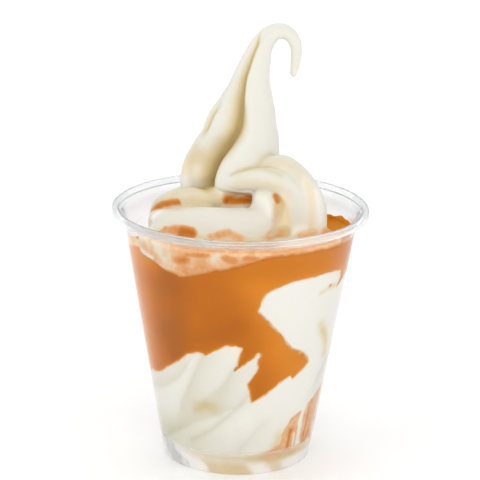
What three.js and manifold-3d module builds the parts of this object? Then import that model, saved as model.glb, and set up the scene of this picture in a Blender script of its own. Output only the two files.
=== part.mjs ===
// Caramel sundae: a clear plastic cup of soft serve with a pocket of caramel sauce against its wall,
// topped with a coiled soft serve swirl that ends in a curled tip.
// Millimetres, +Z up. The origin is the centre of the cup's foot, and the front faces -Y.
import * as THREE from "three";
import { mergeVertices } from "three/addons/utils/BufferGeometryUtils.js";
import Module from "manifold-3d";

const wasm = await Module();
wasm.setup();

// Cup
const RIM_DIAMETER = 92;
const CUP_HEIGHT = 92.6;
const FOOT_DIAMETER = 53;
const MOUTH_DIAMETER = 84.8; // outside of the wall's cone at the height of the rim
const WALL = 0.8;
const FLOOR_HEIGHT = 6.6; // the inside floor stands well above the foot
const FOOT_WIDTH = 1.6;
const FOOT_ROUNDING = 0.6;
const ROLL_RADIUS = 1.5; // the rim is rolled outwards into a bead
const FLARE_START = 87; // the wall leaves its cone here to run out into the bead
const FLOOR_FILLET = 1.2;
const SIDES = 48;

// Contents
const CLEARANCE = 0.3; // between neighbouring solids
const SLOPE_CLEARANCE = 1.5; // times the clearance, measured outwards on the pocket's sloping side
const MOUND_TOP = 75; // at the axis
const MOUND_TILT = 4.5; // rise of the mound's top from the axis to the wall on its high side
const MOUND_ROUNDING = 3;
const MOUND_RINGS = 25;
const HIGH_SIDE = 70; // degrees from the front towards +X
const SAUCE_MIDDLE = 80; // level of the sauce at the axis
const SAUCE_BOTTOM = 25; // below the deepest point of the pocket
const POCKET_DEPTH = 6;
const POCKET_SLOPE = 5; // width over which the pocket's side runs in from the wall
const POCKET_SNAP = 1.3; // points of the mound's wall this near to the pocket's edge lie on it
const POCKET_MEAN_RADIUS = 33;

// Lower edge of the sauce on the wall: degrees from the front towards +X, and height.
// It folds back on itself round the tongue of soft serve at the right.
const POCKET_EDGE = [
  [-180, 48], [-145, 54], [-110, 42], [-76, 32.5], [-57, 36], [-40, 42], [-24, 48], [-7, 51.5],
  [2, 50], [-2, 41.7], [12.5, 48.5], [12, 41.6], [6.4, 36.5], [9.5, 29], [27, 36], [49, 41.8],
  [32, 49], [23, 56], [10.5, 65], [14, 71.7], [29, 75.6], [47, 76], [67, 72.8], [80, 72],
  [110, 62], [145, 50], [180, 48],
];

// Level of the sauce on the wall: degrees from the front towards +X, and height.
const SAUCE_LEVEL = [
  [-180, 77], [-110, 76], [-82, 77.4], [-70, 79.6], [-60, 80.6], [-50, 79.8], [-44, 78], [-38, 76.9],
  [-31.5, 76], [-23, 77.3], [-15, 79.6], [-7, 80.8], [0, 82.2], [10, 84.6], [17, 85.2], [25, 85.4],
  [43, 85.3], [54, 84.9], [67, 83.5], [100, 83], [125, 81.6], [180, 77],
];

// Swirl: stations along each rope of soft serve are x, y, z and the rope's radius.
const BASE_TOP = 88;
const BASE_ROUNDING = 2.4;
const BASE_RADIUS = 30; // away from the front, where the base spreads to the wall
const BASE_SPREAD = [58, 78]; // degrees from the front over which it draws in from the wall
const CORE_CENTRE = [-1, 1, 90];
const CORE_RADII = [21, 20, 12];
const ARCH_CORE = [
  [6, -4.5, 106, 5.6], [12.5, -7, 105, 6], [16.4, -7.8, 100.6, 6.8], [18.2, -8, 94.6, 7.6],
  [19, -8, 88, 8], [19, -7, 80, 8],
];
const ARCH_WEB = [
  [12.6, -15, 104, 3.4], [13.4, -15.8, 97, 4.3], [13.6, -16.2, 90, 4.5], [13.6, -16.2, 81, 4.5],
];
const ARCH_INNER = [
  [-7.2, -14, 105, 2.4], [-0.4, -18.2, 106.4, 3], [5.9, -18.8, 107.6, 3.9], [11.8, -17.8, 106.4, 4.1],
  [16.8, -16.5, 102.6, 4.8], [19.3, -15.5, 97, 5.7], [19.8, -15.3, 90, 5.9], [19.8, -15.3, 82, 5.9],
];
const ARCH_OUTER = [
  [4, -13, 107, 2.5], [9, -12.5, 109.8, 3.4], [14.2, -12.4, 110.2, 4.4], [18.7, -12.8, 106.6, 5],
  [22.3, -13, 101.4, 5.4], [24.1, -13, 95.3, 6.1], [24.2, -13, 88, 6.2], [24.2, -13, 80, 6.2],
];
const COIL = [
  [20, -9, 92, 6.4], [22.4, 3, 87.8, 7.4], [16, 17, 88.5, 7.4], [0, 24, 88, 7.4], [-17, 17, 88.5, 7.2],
  [-25.3, 4, 87, 6.5], [-25.6, -10, 87.6, 5.9], [-13, -20, 90.2, 6.9], [-1, -21.8, 90.6, 7],
  [5.2, -20.8, 92, 6.7], [8, -18.6, 96, 5], [8.4, -17.5, 101, 4.4], [8.4, -17, 106, 4.2],
];
const SIDE_LOBE = [
  [-2, -10, 98.3, 2.6], [-8, -13, 99, 3.4], [-16.5, -12.7, 98.8, 3.5], [-22.8, -8.5, 97, 3.2],
  [-27.8, -3, 93.2, 3], [-29.2, 5, 87, 3.8],
];

// The peak's stations add the angle of the groove between its two front folds, in degrees from the front
// towards +X, and the groove's depth as a share of the radius.
const PEAK = [
  [-3, 1.6, 80, 18, -37, 0.55], [-2.9, 1.2, 95, 18.6, -37, 0.55], [-2.6, 0.6, 103, 18.9, -37, 0.55],
  [-1.7, 0, 110, 16.9, -36, 0.55], [-0.6, 0, 116.5, 14.3, -22, 0.55], [0.1, 0, 122.3, 12.8, -7, 0.55],
  [1.4, 0, 128, 10.7, -12, 0.55], [2.5, 0, 134, 8.4, -25, 0.55], [3.3, 0, 139.6, 6.6, -31, 0.55],
  [4.7, 0, 145.3, 5.3, -32, 0.52], [6.6, 0, 151, 4, -32, 0.4], [9.8, 0, 155, 3.2, -32, 0.2],
  [13.6, 0, 156, 2.7, -18, 0], [16.8, 0, 154, 2.35, -18, 0], [18.4, 0, 150.2, 2.1, -18, 0],
  [18.3, 0, 145, 1.8, -18, 0], [17.4, 0, 139.4, 1.2, -18, 0],
];
const GROOVE_WIDTHS = [25, 10]; // degrees on the groove's left and right flank
const BACK_GROOVES = [
  { angle: -132, depth: 0.3, width: 22 },
  { angle: 168, depth: 0.32, width: 28 },
  { angle: 138, depth: 0.25, width: 18 },
]; // angles from the front groove
const UNDERCUT = { angle: -6, depth: 0.5, width: 36, from: 100, to: 105 }; // hollow under the arch's start

// Finishes
const CLEAR_PLASTIC = { color: 0xe9edf0, roughness: 0.08, transparent: true, opacity: 0.3 };
const SOFT_SERVE = { color: 0xf3eee0, roughness: 0.45 };
const CARAMEL = { color: 0xc8701c, roughness: 0.18 };

// A closed geometry as a solid, its faces turned outwards.
function solidOf(geometry) {
  const bare = geometry.index ? geometry.toNonIndexed() : geometry.clone();
  for (const name of Object.keys(bare.attributes)) {
    if (name !== "position") bare.deleteAttribute(name);
  }
  const merged = mergeVertices(bare, 1e-4);
  const kept = [];
  for (let i = 0; i < merged.index.count; i += 3) {
    const [a, b, c] = merged.index.array.subarray(i, i + 3);
    if (a !== b && b !== c && a !== c) kept.push([a, b, c]);
  }
  const make = (triangles) =>
    new wasm.Manifold(
      new wasm.Mesh({
        numProp: 3,
        vertProperties: merged.attributes.position.array,
        triVerts: new Uint32Array(triangles.flat()),
      }),
    );
  const solid = make(kept);
  return solid.volume() > 0 ? solid : make(kept.map(([a, b, c]) => [a, c, b]));
}

// The largest body of a solid as a named mesh with its own material.
function meshOf(name, solid, finish) {
  const [largest] = solid.decompose().sort((a, b) => b.volume() - a.volume());
  const { vertProperties, triVerts } = largest.getMesh();
  const geometry = new THREE.BufferGeometry();
  geometry.setAttribute("position", new THREE.BufferAttribute(vertProperties, 3));
  geometry.setIndex(new THREE.BufferAttribute(triVerts, 1));
  geometry.computeVertexNormals();
  const mesh = new THREE.Mesh(geometry, new THREE.MeshStandardMaterial({ metalness: 0, ...finish }));
  mesh.name = name;
  return mesh;
}

// A profile of radius and height turned about the Z axis, each point then moved by reshape(angle, radius, z),
// which gives its radius and height, and its angle if that changes. The angle runs from the front towards +X.
function turned(profile, reshape) {
  const geometry = new THREE.LatheGeometry(profile, SIDES).rotateX(Math.PI / 2);
  if (reshape) {
    const at = geometry.attributes.position;
    for (let i = 0; i < at.count; i++) {
      const angle = Math.atan2(at.getX(i), -at.getY(i));
      const reach = Math.hypot(at.getX(i), at.getY(i));
      const [radius, z, moved = angle] = reshape(angle, reach > 1e-6 ? reach : 0, at.getZ(i));
      at.setXYZ(i, radius * Math.sin(moved), -radius * Math.cos(moved), z);
    }
  }
  return geometry;
}

const TAPER = (MOUTH_DIAMETER - FOOT_DIAMETER) / 2 / CUP_HEIGHT;
const outerRadius = (z) => FOOT_DIAMETER / 2 + TAPER * z;
const innerRadius = (z) => outerRadius(z) - WALL;
const contentsRadius = (z) => innerRadius(z) - CLEARANCE;
const degrees = THREE.MathUtils.radToDeg;
const smoothstep = (from, to, value) => THREE.MathUtils.smoothstep(value, from, to);

function cup() {
  const bead = { r: RIM_DIAMETER / 2 - ROLL_RADIUS, z: CUP_HEIGHT - ROLL_RADIUS };
  const beadStart = (-3 * Math.PI) / 4;
  const beadEnd = (3 * Math.PI) / 4;
  const onBead = (angle) => [bead.r + ROLL_RADIUS * Math.cos(angle), bead.z + ROLL_RADIUS * Math.sin(angle)];
  const footEdge = FOOT_DIAMETER / 2;
  const profile = new THREE.Path();
  profile.moveTo(0, FLOOR_HEIGHT - WALL);
  profile.lineTo(footEdge - FOOT_WIDTH, FLOOR_HEIGHT - WALL);
  profile.lineTo(footEdge - FOOT_WIDTH, 0);
  profile.lineTo(footEdge - FOOT_ROUNDING, 0);
  profile.quadraticCurveTo(footEdge, 0, outerRadius(FOOT_ROUNDING), FOOT_ROUNDING);
  profile.lineTo(outerRadius(FLARE_START), FLARE_START);
  profile.quadraticCurveTo(outerRadius(bead.z - ROLL_RADIUS), bead.z - ROLL_RADIUS, ...onBead(beadStart));
  profile.absarc(bead.r, bead.z, ROLL_RADIUS, beadStart, beadEnd, false);
  profile.quadraticCurveTo(innerRadius(bead.z), bead.z, innerRadius(FLARE_START), FLARE_START);
  profile.lineTo(innerRadius(FLOOR_HEIGHT + FLOOR_FILLET), FLOOR_HEIGHT + FLOOR_FILLET);
  profile.quadraticCurveTo(
    innerRadius(FLOOR_HEIGHT), FLOOR_HEIGHT, innerRadius(FLOOR_HEIGHT) - FLOOR_FILLET, FLOOR_HEIGHT,
  );
  profile.lineTo(0, FLOOR_HEIGHT);
  return solidOf(turned(profile.getPoints(3)));
}

// The nearest point of the sauce pocket's edge to a point of the wall, and how far away it is.
// The distance is negative outside the pocket.
function pocketEdge(angle, z) {
  const scale = THREE.MathUtils.degToRad(1) * POCKET_MEAN_RADIUS;
  const along = degrees(angle);
  const nearest = new THREE.Vector3(Infinity, 0, 0);
  let crossings = 0;
  for (const turn of [-360, 0, 360]) {
    POCKET_EDGE.slice(1).forEach(([endAngle, endZ], i) => {
      const [startAngle, startZ] = POCKET_EDGE[i];
      const start = new THREE.Vector3((startAngle + turn - along) * scale, startZ - z, 0);
      const end = new THREE.Vector3((endAngle + turn - along) * scale, endZ - z, 0);
      if (start.x > 0 !== end.x > 0) {
        const height = start.y - (start.x * (end.y - start.y)) / (end.x - start.x);
        if (height < 0) crossings++;
      }
      const edge = new THREE.Line3(start, end);
      const near = edge.closestPointToPoint(new THREE.Vector3(), true, new THREE.Vector3());
      if (near.length() < nearest.length()) nearest.copy(near);
    });
  }
  return {
    distance: nearest.length() * (crossings % 2 ? 1 : -1),
    angle: angle + nearest.x / POCKET_MEAN_RADIUS,
    z: z + nearest.y,
  };
}

// Soft serve in the cup: a mound that meets the wall all round, except where the sauce pocket hollows it.
function mound(grow) {
  const shoulder = MOUND_TOP - MOUND_ROUNDING;
  const bottom = FLOOR_HEIGHT + CLEARANCE;
  const edge = contentsRadius(shoulder);
  const profile = [
    [0, bottom],
    [innerRadius(bottom) - 2 * FLOOR_FILLET, bottom],
  ];
  for (let i = 0; i <= MOUND_RINGS; i++) {
    const z = THREE.MathUtils.lerp(bottom + FLOOR_FILLET, shoulder, i / MOUND_RINGS);
    profile.push([contentsRadius(z), z]);
  }
  profile.push([edge - MOUND_ROUNDING / 3, MOUND_TOP - MOUND_ROUNDING / 3]);
  profile.push([edge - MOUND_ROUNDING, MOUND_TOP]);
  profile.push([edge / 2, MOUND_TOP]);
  profile.push([0, MOUND_TOP]);
  const hollowed = (angle, radius, z) => {
    const outward = radius > 0 ? SLOPE_CLEARANCE * grow : 0;
    const rise = MOUND_TILT * (radius / edge) * Math.cos(angle - THREE.MathUtils.degToRad(HIGH_SIDE));
    const height = z + rise * smoothstep(MOUND_TOP / 2, shoulder, z);
    const onEdge = pocketEdge(angle, height);
    if (z > bottom && z < shoulder && Math.abs(onEdge.distance) < POCKET_SNAP) {
      return [contentsRadius(onEdge.z) + outward, onEdge.z, onEdge.angle];
    }
    const rounded = 1 + smoothstep(shoulder - 4 * MOUND_ROUNDING, MOUND_TOP, z);
    const depth = POCKET_DEPTH * rounded * smoothstep(0, POCKET_SLOPE, onEdge.distance);
    const onCone = radius > 0 ? TAPER * (height - z) : 0;
    return [radius + onCone - Math.min(depth, radius / 2) + outward, z > shoulder ? height + grow : height];
  };
  return solidOf(turned(profile.map(([radius, z]) => new THREE.Vector2(radius, z)), hollowed));
}

// Height of the sauce's surface, which runs from its level on the wall to its level at the axis.
function sauceTop(angle, radius) {
  const along = degrees(angle);
  const next = Math.max(1, SAUCE_LEVEL.findIndex(([end]) => end >= along));
  const [[startAngle, startZ], [endAngle, endZ]] = SAUCE_LEVEL.slice(next - 1, next + 1);
  const onWall = THREE.MathUtils.mapLinear(along, startAngle, endAngle, startZ, endZ);
  return THREE.MathUtils.lerp(SAUCE_MIDDLE, onWall, radius / contentsRadius(SAUCE_MIDDLE));
}

// A rope of soft serve: a cylinder drawn along stations, each ring shaped by profile(angle, share of length).
// The ring's angle, in degrees, runs from the reference direction towards tangent x reference.
// Its points lie closer together round the direction turn(share), by the given crowding.
function rope(stations, { reference, sides, steps, grow, profile, turn = () => 0, crowding = 0 }) {
  const centre = new THREE.CatmullRomCurve3(
    stations.map(([x, y, z]) => new THREE.Vector3(x, y, z)), false, "catmullrom",
  );
  const length = centre.getLength();
  const geometry = new THREE.CylinderGeometry(1, 1, 1, sides, steps);
  const at = geometry.attributes.position;
  for (let i = 0; i < at.count; i++) {
    const share = at.getY(i) + 0.5;
    const around = Math.atan2(at.getX(i), at.getZ(i));
    const angle = around - crowding * Math.sin(around) + THREE.MathUtils.degToRad(turn(share));
    const tangent = centre.getTangent(share);
    const forward = reference.clone().addScaledVector(tangent, -tangent.dot(reference)).normalize();
    const side = tangent.clone().cross(forward);
    const girth = between(stations, share, 3);
    const fromEnd = (Math.min(share, 1 - share) * length) / girth;
    const rounding = Math.sqrt(1 - (1 - Math.min(1, fromEnd + 0.05)) ** 2);
    const radius = (girth * profile(degrees(angle), share) + grow) * rounding;
    const reach = Math.min(1, Math.hypot(at.getX(i), at.getZ(i))) * radius;
    const point = centre.getPoint(share);
    point.addScaledVector(forward, reach * Math.cos(angle)).addScaledVector(side, reach * Math.sin(angle));
    at.setXYZ(i, point.x, point.y, point.z);
  }
  return solidOf(geometry);
}

// One column of a rope's stations, at a share of the way along them.
function between(stations, share, column) {
  const start = Math.min(stations.length - 2, Math.floor(share * (stations.length - 1)));
  const part = share * (stations.length - 1) - start;
  return THREE.MathUtils.lerp(stations[start][column], stations[start + 1][column], part);
}

// A bell of height 1 about a direction, with its own width on the left and on the right.
function bell(angle, middle, left, right) {
  const off = THREE.MathUtils.euclideanModulo(angle - middle + 180, 360) - 180;
  return Math.exp(-((off / (off < 0 ? left : right)) ** 2));
}

const plain = () => 1;

// The peak's folds: the deep groove at the front, softer grooves behind, and the hollow at its foot.
function folded(angle, share) {
  const [z, turn, depth] = [2, 4, 5].map((column) => between(PEAK, share, column));
  const front = depth * bell(angle, turn, ...GROOVE_WIDTHS);
  const fade = share < 0.7 ? 1 - smoothstep(145, 154, z) : 0;
  const back = BACK_GROOVES.reduce(
    (sum, groove) => sum + groove.depth * bell(angle, turn + groove.angle, groove.width, groove.width), 0,
  );
  const under = bell(angle, UNDERCUT.angle, UNDERCUT.width, UNDERCUT.width);
  return 1 - front - fade * back - UNDERCUT.depth * under * (1 - smoothstep(UNDERCUT.from, UNDERCUT.to, z));
}

// The swirl's base lies on the sauce, spreads to the wall at the front and is rounded off at its top.
function base(grow) {
  const spread = (angle, radius, z) => {
    const drawnIn = smoothstep(...BASE_SPREAD, Math.abs(degrees(angle)));
    const reach = THREE.MathUtils.lerp(radius, (radius * BASE_RADIUS) / edge, drawnIn);
    const height = z > SAUCE_MIDDLE ? z : sauceTop(angle, reach) - grow;
    const onCone = TAPER * (height - SAUCE_MIDDLE) * (1 - drawnIn);
    return [radius > 0 ? reach + onCone + grow : 0, height];
  };
  const edge = contentsRadius(SAUCE_MIDDLE);
  const profile = [
    [0, SAUCE_MIDDLE], [edge, SAUCE_MIDDLE], [edge, BASE_TOP - BASE_ROUNDING],
    [edge - BASE_ROUNDING / 3, BASE_TOP - BASE_ROUNDING / 3], [edge - BASE_ROUNDING, BASE_TOP], [0, BASE_TOP],
  ];
  return solidOf(turned(profile.map(([radius, z]) => new THREE.Vector2(radius, z)), spread));
}

function swirl(grow) {
  const up = new THREE.Vector3(0, 0, 1);
  const front = new THREE.Vector3(0, -1, 0);
  const turn = (share) => between(PEAK, share, 4);
  const peak = { reference: front, sides: 32, steps: 36, profile: folded, turn, crowding: 0.45 };
  const core = new THREE.SphereGeometry(1, 20, 10);
  core.scale(...CORE_RADII.map((radius) => radius + grow)).translate(...CORE_CENTRE);
  return solidOf(core)
    .add(base(grow))
    .add(rope(ARCH_CORE, { reference: front, sides: 12, steps: 10, grow, profile: plain }))
    .add(rope(ARCH_WEB, { reference: front, sides: 12, steps: 8, grow, profile: plain }))
    .add(rope(ARCH_INNER, { reference: front, sides: 16, steps: 21, grow, profile: plain }))
    .add(rope(ARCH_OUTER, { reference: front, sides: 16, steps: 21, grow, profile: plain }))
    .add(rope(COIL, { reference: up, sides: 16, steps: 36, grow, profile: plain }))
    .add(rope(SIDE_LOBE, { reference: up, sides: 12, steps: 18, grow, profile: plain }))
    .add(rope(PEAK, { ...peak, grow }));
}

// Sauce that fills the pocket and covers the mound, cut round the soft serve below and above it.
function sauce() {
  const edge = contentsRadius(SAUCE_MIDDLE);
  const profile = [
    [0, SAUCE_BOTTOM], [contentsRadius(SAUCE_BOTTOM), SAUCE_BOTTOM],
    [edge, SAUCE_MIDDLE], [edge * 0.75, SAUCE_MIDDLE], [edge * 0.4, SAUCE_MIDDLE], [0, SAUCE_MIDDLE],
  ].map(([radius, z]) => new THREE.Vector2(radius, z));
  const levelled = (angle, radius, z) => {
    if (z < SAUCE_MIDDLE) return [radius, z];
    const height = sauceTop(angle, radius);
    return [radius > edge * 0.9 ? contentsRadius(height) : radius, height];
  };
  return solidOf(turned(profile, levelled)).subtract(mound(CLEARANCE)).subtract(swirl(CLEARANCE));
}

const sundae = new THREE.Group();
sundae.add(
  meshOf("cup", cup(), CLEAR_PLASTIC),
  meshOf("soft_serve_mound", mound(0), SOFT_SERVE),
  meshOf("caramel_sauce", sauce(), CARAMEL),
  meshOf("soft_serve_swirl", swirl(0), SOFT_SERVE),
);

export default sundae;
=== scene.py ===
# Caramel sundae: a clear cup of soft serve with a pocket of caramel against its wall, and a coiled swirl on top.
# Lengths are in millimetres and angles in degrees unless a name says otherwise. +Z is up, and the front faces -Y.
# A place on the wall is given as degrees from the front towards +X, and height.
import math

import bpy
import numpy as np
from mathutils import Matrix, Vector


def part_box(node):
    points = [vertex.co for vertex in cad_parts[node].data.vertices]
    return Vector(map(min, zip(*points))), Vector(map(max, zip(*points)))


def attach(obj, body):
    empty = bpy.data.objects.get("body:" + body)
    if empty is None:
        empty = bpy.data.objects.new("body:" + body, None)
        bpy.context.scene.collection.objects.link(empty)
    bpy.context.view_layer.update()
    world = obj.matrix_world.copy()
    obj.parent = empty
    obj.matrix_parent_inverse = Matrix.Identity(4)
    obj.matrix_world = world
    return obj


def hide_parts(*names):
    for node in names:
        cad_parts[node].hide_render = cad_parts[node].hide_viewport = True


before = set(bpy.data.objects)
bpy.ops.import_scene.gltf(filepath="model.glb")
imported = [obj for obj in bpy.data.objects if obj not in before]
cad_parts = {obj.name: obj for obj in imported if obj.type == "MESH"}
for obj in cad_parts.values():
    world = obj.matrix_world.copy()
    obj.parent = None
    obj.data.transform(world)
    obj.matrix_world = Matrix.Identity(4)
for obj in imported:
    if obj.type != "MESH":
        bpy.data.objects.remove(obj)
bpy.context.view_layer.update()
MM = 0.001
SEED = 7

# Cup
CUP_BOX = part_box("cup")
RIM_DIAMETER = (CUP_BOX[1].x - CUP_BOX[0].x) / MM
CUP_HEIGHT = CUP_BOX[1].z / MM
FOOT_DIAMETER = 53
MOUTH_DIAMETER = 84.8  # outside of the wall's cone at the height of the rim
TAPER = (MOUTH_DIAMETER - FOOT_DIAMETER) / 2 / CUP_HEIGHT
WALL = 0.8
FLOOR_HEIGHT = 6.6
FLOOR_FILLET = 1.2
FOOT_WIDTH = 1.6
FOOT_ROUNDING = 0.6
ROLL_RADIUS = 1.5  # the rim is the wall itself, rolled outwards
ROLL_WALL = 0.45
FLARE_START = 87
FOOT_RINGS = np.linspace(1.4, 9.4, 11)  # close together, for the tones of the foot's painted light
WALL_RINGS = np.linspace(15, FLARE_START, 13)
CUP_SIDES = 192

# Contents
INTO_WALL = 0.5  # the soft serve reaches this far into the wall, so that no air shows between
SAUCE_INTO_WALL = 0.1
MOUND_TOP = 75
MOUND_TILT = 4.5
MOUND_ROUNDING = 3
HIGH_SIDE = 70  # direction in which the mound's top rises
SAUCE_MIDDLE = 80  # level of the sauce at the axis
SAUCE_BOTTOM = 25
POCKET_DEPTH = 6
POCKET_SLOPE = 5
POCKET_LIP = 0.6
WALL_MEAN_RADIUS = 33  # turns degrees on the wall into lengths
FOLD_DEPTH = 0.22
WALL_COLUMNS = 420
MOUND_ROWS = 140
SAUCE_ROWS = 110
TOP_ROWS = 14

# Unevenness: the size of its lumps and how far each kind reaches.
EDGE_WOBBLE = [(2.2, 0.5), (1.1, 0.5)]
CLIMB_WOBBLE = [(4, 0.3), (1.5, 0.25)]  # as a share of the climb
SAUCE_RIPPLE = [(5, 0.35)]
BASE_WAVES = [(6, 0.7)]

# Lower edge of the sauce on the wall.
POCKET_EDGE = [
    (-180, 47), (-169, 50.5), (-159, 48.5), (-149, 54.5), (-140, 52), (-146, 45.5), (-132, 47.5),
    (-121, 41.5), (-124.5, 36.5), (-112, 39), (-100, 34.5), (-90, 36), (-76, 32.5), (-57, 35.8),
    (-40, 42.2), (-32, 46), (-24, 48), (-19, 47.1), (-14.7, 49), (-7, 51.7), (-1.2, 51.6),
    (2.2, 50.3), (0.4, 46), (-2, 41.7), (4.8, 44.7), (12.4, 48.8), (13.6, 47.2), (11.8, 44.9),
    (12.1, 41.6), (6.4, 36.5), (8.2, 33.1), (9.5, 29.1), (18.6, 32.1), (27, 36), (35, 38.2),
    (36.7, 36.7), (49, 41.8), (43, 46), (32.2, 49.3), (23.4, 56), (17, 60.3), (10.5, 65),
    (11.6, 68.3), (14.2, 71.7), (19.9, 73.7), (28.8, 75.6), (39.2, 75.8), (47.1, 76), (58, 75.3),
    (66.5, 74.4), (67.5, 71.5), (65, 68.4), (69, 69), (76, 71.2), (86, 72), (97, 69.5), (104, 63.5),
    (101, 58.5), (113, 60.5), (125, 53), (121, 48), (134, 51), (149, 46.5), (160, 51.5),
    (171, 45.5), (180, 47),
]

# Level of the sauce on the wall.
SAUCE_LEVEL = [
    (-180, 77), (-110, 76), (-82, 77.4), (-70, 79.6), (-60, 80.6), (-50, 79.8), (-44, 78),
    (-38, 76.9), (-31.5, 76), (-23, 77.3), (-15, 79.6), (-7, 80.8), (0, 82.2), (10, 84.6),
    (17, 85.2), (25, 85.4), (43, 85.3), (54, 84.9), (67, 83.5), (100, 83), (125, 81.6), (180, 77),
]

# How far the sauce clings to the wall above its level, and how thick it is there.
SAUCE_CLIMB = [
    (-106, 0.9), (-97, 2.4), (-89, 4.6), (-81, 5.4), (-62, 5.4), (-55, 2.4), (-50, 0.9), (70, 0.9),
    (90, 2), (120, 1.5), (150, 0.9),
]
CLIMB_THICKNESS = 0.4

# How deep the sauce looks, from 0 to 1: in front, at least, on its surface, and what places on the wall take or add.
SAUCE_DEPTH, LEAST_DEPTH, SURFACE_DEPTH = 0.85, 0.16, 0.6
AMBER_LOSS, UPPER_LEFT_LOSS, FAR_LEFT_LOSS, MIDDLE_LEFT_GAIN = 0.4, 0.4, 0.75, 0.13
EDGE_LOSS, EDGE_WIDTH = 0.75, 0.5

# Folds of the soft serve where it lies against the wall: places, the groove's depth,
# and its width on the left and on the right of the stroke as it is drawn.
FOLDS = [
    ([(-80, 25), (-51.5, 31.5), (-40.7, 35.6), (-33, 41)], 0.8, 5, 0.9),
    ([(-39.6, 26), (-33.4, 32), (-28.7, 37.6), (-21, 47)], 1.0, 0.9, 5),
    ([(-25, 27), (-15.7, 31.3), (-8.4, 35.7), (-3, 42)], 0.9, 0.9, 4.5),
    ([(-75, 6), (-44, 15), (-26, 21.5), (-10, 25)], 1.0, 6, 0.9),
    ([(-34, 12), (-17.4, 17.5), (-5.9, 23.7), (2, 28), (7, 32)], 0.8, 1.1, 1.6),
    ([(0, 8), (9.6, 14.9), (19, 21)], 0.5, 2, 3),
    ([(62, 34), (78, 43), (92, 55), (99, 65)], 0.9, 0.9, 5),
    ([(92, 9), (112, 20), (128, 34), (136, 47)], 1.0, 0.9, 5),
    ([(121, 8), (143, 16), (163, 29), (172, 42)], 0.9, 5, 0.9),
    ([(150, 8), (172, 15), (194, 26), (208, 40)], 1.0, 0.9, 5),
    ([(186, 8), (207, 15), (226, 26), (238, 35)], 0.9, 0.9, 4.5),
    ([(222, 8), (245, 17), (262, 29)], 0.8, 5, 0.9),
]

# Thin sauce on the soft serve where it lies against the wall: places, strength and width of each stroke.
SMEARS = [
    ([(41.5, 15.5), (40.5, 8.5)], 0.85, 1.5),
    ([(59, 22), (57.5, 8)], 0.75, 1.6),
    ([(66, 14), (60, 8)], 0.75, 1.3),
    ([(56, 70), (57, 70.2)], 0.75, 0.6),
    ([(22, 7), (30, 8.6), (40, 10)], 0.52, 2.2),
]
# A wide film of sauce low on the right: its upper edge, its strength, and where it starts, is full, thins and ends.
SMEARED_EDGE = [
    (0, 3), (24, 6), (31, 8), (32.4, 12.6), (34.7, 16.4), (39.5, 20.7), (44.3, 22.8), (57.5, 25.6),
    (74, 29.8), (95, 30), (125, 24),
]
SMEARED_FILM = 0.46
SMEARED_SIDES = (26, 32, 84, 108)
SMEARED_SOFTNESS = (-0.2, 1.2)
RAGGED_LUMP = 2.5
RAGGED_EDGE = 0.8
RAGGED_SIDE = 6
STREAK_STRETCH = (1, 1, 0.2)  # makes lumps taller than wide
BARE_STREAKS = [
    ([(54, 29), (50.5, 18.3), (51.5, 6)], 1.2), ([(45.8, 14), (46, 6)], 0.35),
    ([(79, 32), (74, 19), (75, 6)], 1), ([(86, 17), (85, 6)], 0.6), ([(98, 32), (91, 22), (93, 6)], 1.3),
]
POCKET_FRINGE = 0.45  # thin sauce along the pocket's edge
FRINGE_WIDTH = 0.7
FOLD_SHADE = 0.34
LOW_SHADE = 0.12  # shade low in the cup, all round and on the left
LOW_LEFT_SHADE = 0.18
LOW_LEFT = (-45, 60, 35)
LOW_LEVELS = (25, 8)
# Soft serve at the wall that a trace of sauce has yellowed: places, strength and width.
STAINS = [
    ([(-28, 25.6), (-21, 26.8), (-15, 26.6)], 0.9, 2.4),
    ([(49, 68.5), (58.8, 69.5), (64, 69)], 0.8, 1),
    ([(54.8, 55), (64, 47.5), (66.6, 42.4)], 1, 2),
    ([(29, 9), (31.5, 14)], 0.7, 2.5),
]
STAIN_MEAN, STAIN_CHANGE, STAIN_LUMP = 0.75, 0.35, 2.2

# Swirl: stations along each rope of soft serve are x, y, z and the rope's radius.
BASE_TOP = 88
BASE_ROUNDING = 2.4
BASE_RADIUS = 30
BASE_SPREAD = (58, 78)  # between these angles from the front the base draws in from the wall
BASE_COLUMNS = 180
CORE_CENTRE = (-1, 1, 90)
CORE_RADII = (21, 20, 12)
ARCH_CORE = [
    (6, -4.5, 106, 5.6), (12.5, -7, 105, 6), (16.4, -7.8, 100.6, 6.8), (18.2, -8, 94.6, 7.6),
    (19, -8, 88, 8), (19, -7, 80, 8),
]
ARCH_WEB = [(12.6, -15, 104, 3.4), (13.4, -15.8, 97, 4.3), (13.5, -16.9, 91, 4.5), (13.5, -17.2, 82, 4.6)]
ARCH_INNER = [
    (-7.2, -14, 105, 2.4), (-0.4, -18.2, 106.4, 3), (5.9, -18.8, 107.6, 3.9), (11.8, -17.8, 106.4, 4.1),
    (16.8, -16.5, 102.6, 4.8), (19.3, -15.5, 97, 5.7), (19.8, -15.3, 90, 5.9), (19.8, -15.3, 82, 5.9),
]
ARCH_OUTER = [
    (4, -13, 107, 2.5), (9, -12.5, 109.8, 3.4), (14.2, -12.4, 110.2, 4.4), (18.7, -12.8, 106.6, 5),
    (22.3, -13, 101.4, 5.4), (24.1, -13, 95.3, 6.1), (24.2, -13, 88, 6.2), (24.2, -13, 80, 6.2),
]
COIL = [
    (20, -9, 92, 6.4), (22.4, 3, 87.8, 7.4), (16, 17, 88.5, 7.4), (0, 24, 88, 7.4), (-17, 17, 88.5, 7.2),
    (-25.3, 4, 87, 6.5), (-25.6, -10, 87.6, 5.9), (-13, -20, 90.2, 6.9), (-1, -21.8, 90.6, 7),
    (5.2, -20.8, 92, 6.7), (8, -18.6, 96, 5), (8.4, -17.5, 101, 4.4), (8.4, -17, 106, 4.2),
]
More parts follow.
